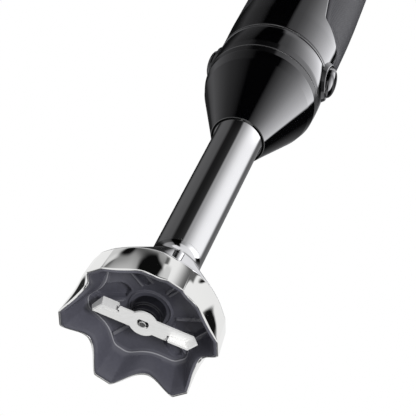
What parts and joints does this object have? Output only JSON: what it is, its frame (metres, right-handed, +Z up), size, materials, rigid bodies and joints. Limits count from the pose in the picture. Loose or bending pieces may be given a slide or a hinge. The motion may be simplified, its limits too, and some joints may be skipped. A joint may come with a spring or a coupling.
{
  "type": "immersion blender",
  "caption": "Hand-held stick blender: motor handle with thumb buttons and speed dial, and a detachable steel blending foot with a scalloped bell and a bent blade.",
  "frame": {"origin": "on the blender's axis, in the plane of the bell's feet, so the part stands on z = 0", "axes": "+Z up along the axis from the bell to the speed dial, +X through one release button, -Y towards the front with the thumb buttons"},
  "size_m": [0.0666, 0.0612, 0.3993],
  "materials": {
    "polished_steel": "polished stainless steel",
    "blade_steel": "satin stainless steel",
    "plain_steel": "ground steel",
    "laminated_steel": "stacked steel sheets with a dull lacquer",
    "gloss_black": "high gloss moulded plastic",
    "grip_charcoal": "matte with fine slanting ribs",
    "liner_grey": "satin dark grey moulded plastic",
    "seal_black": "smooth rubber",
    "inner_plastic": "plain moulded plastic",
    "dark_plastic": "satin moulded plastic",
    "bronze": "sintered bronze",
    "copper": "lacquered copper",
    "carbon": "pressed carbon",
    "board_green": "lacquered circuit board",
    "capacitor_yellow": "smooth plastic case"
  },
  "bodies": {
    "motor_unit": {"collar_ring": "gloss_black", "front_shell": "gloss_black", "grip_shell": "grip_charcoal", "top_cap": "gloss_black", "cord_gland": "seal_black", "lower_bracket": "inner_plastic", "upper_bracket": "inner_plastic", "lower_bearing": "plain_steel", "upper_bearing": "plain_steel", "stator_core": "laminated_steel", "front_coil": "copper", "rear_coil": "copper", "motor_screw_rear": "plain_steel", "motor_screw_front": "plain_steel", "brush_holder_right": "dark_plastic", "brush_holder_left": "dark_plastic", "carbon_brush_right": "carbon", "carbon_brush_left": "carbon", "brush_spring_right": "plain_steel", "brush_spring_left": "plain_steel", "control_board": "board_green", "power_switch": "dark_plastic", "turbo_switch": "dark_plastic", "speed_potentiometer": "dark_plastic", "capacitor": "capacitor_yellow"},
    "attachment": {"bell_shell": "polished_steel", "bell_liner": "liner_grey", "shaft_tube": "polished_steel", "tube_sleeve": "inner_plastic", "coupling_cone": "gloss_black", "lower_bush": "bronze", "shaft_seal": "seal_black", "upper_bush": "bronze", "bush_carrier": "inner_plastic"},
    "spindle": {"drive_shaft": "plain_steel", "blade": "blade_steel", "driven_coupling": "dark_plastic", "shaft_clip": "plain_steel"},
    "rotor": {"drive_coupling": "dark_plastic", "motor_shaft": "plain_steel", "armature_core": "laminated_steel", "lower_winding": "copper", "upper_winding": "copper", "commutator": "copper", "cooling_fan": "dark_plastic"},
    "release_right": {"release_button_right": "gloss_black"},
    "release_left": {"release_button_left": "gloss_black"},
    "power": {"power_button": "gloss_black"},
    "turbo": {"turbo_button": "gloss_black"},
    "dial": {"speed_dial": "dark_plastic"}
  },
  "joints": [
    {"name": "attachment_slide", "type": "slide", "parent": "motor_unit", "child": "attachment", "axis": [0, 0, -1], "range_m": [0, 0.03]},
    {"name": "rotor_spin", "type": "hinge", "parent": "motor_unit", "child": "rotor", "pos_m": [0, 0, 0.25], "axis": [0, 0, 1], "continuous": true},
    {"name": "blade_spin", "type": "hinge", "parent": "attachment", "child": "spindle", "pos_m": [0, 0, 0.1], "axis": [0, 0, 1], "continuous": true},
    {"name": "release_right_press", "type": "slide", "parent": "motor_unit", "child": "release_right", "axis": [-1, 0, 0], "range_m": [0, 0.002], "stiffness_N_per_m": 500, "springref_m": -0.001},
    {"name": "release_left_press", "type": "slide", "parent": "motor_unit", "child": "release_left", "axis": [1, 0, 0], "range_m": [0, 0.002], "stiffness_N_per_m": 500, "springref_m": -0.001},
    {"name": "power_press", "type": "slide", "parent": "motor_unit", "child": "power", "axis": [0, 1, 0], "range_m": [0, 0.0025], "stiffness_N_per_m": 400, "springref_m": -0.001},
    {"name": "turbo_press", "type": "slide", "parent": "motor_unit", "child": "turbo", "axis": [0, 1, 0], "range_m": [0, 0.0025], "stiffness_N_per_m": 400, "springref_m": -0.001},
    {"name": "dial_turn", "type": "hinge", "parent": "motor_unit", "child": "dial", "pos_m": [0, -0.006, 0.39], "axis": [0, 0, 1], "range_deg": [-135, 135]}
  ],
  "couplings": [
    {"joint": "blade_spin", "follows": "rotor_spin", "ratio": 1}
  ]
}
